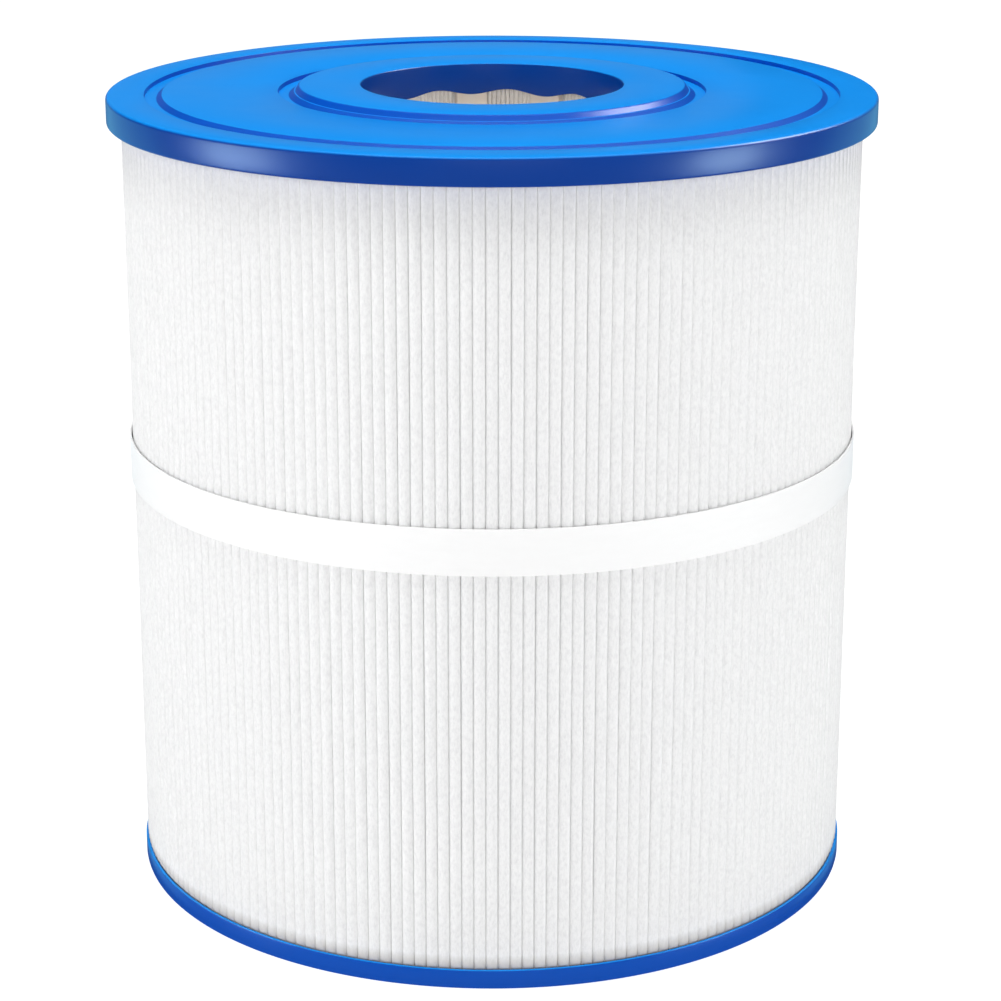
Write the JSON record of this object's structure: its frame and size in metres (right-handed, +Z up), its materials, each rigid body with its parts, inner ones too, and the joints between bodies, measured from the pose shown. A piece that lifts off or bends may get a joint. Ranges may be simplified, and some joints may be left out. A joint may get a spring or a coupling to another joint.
{
  "type": "pleated filter cartridge",
  "caption": "Upright pleated filter cartridge for a spa or pool: flanged round end caps with an open centre hole, fine pleats and one middle band.",
  "frame": {"origin": "centre of the bottom end cap's flat underside, on the axis", "axes": "+Z up the axis towards the flanged cap, +Y towards the back, where the sheet and the band are joined, +X to the right seen from the front"},
  "size_m": [0.216, 0.216, 0.2286],
  "materials": {
    "blue_urethane": "gloss",
    "cream_moulding": "satin",
    "white_polyester": "matte",
    "white_strap": "satin",
    "clear_amber_glue": "gloss"
  },
  "bodies": {
    "root": {"top_end_cap": "blue_urethane", "bottom_end_cap": "blue_urethane", "core_section_lower": "cream_moulding", "core_section_middle": "cream_moulding", "core_section_upper": "cream_moulding", "pleated_media": "white_polyester", "media_seam_bead": "clear_amber_glue", "retaining_band": "white_strap", "band_glue_patch": "clear_amber_glue"}
  },
  "joints": []
}
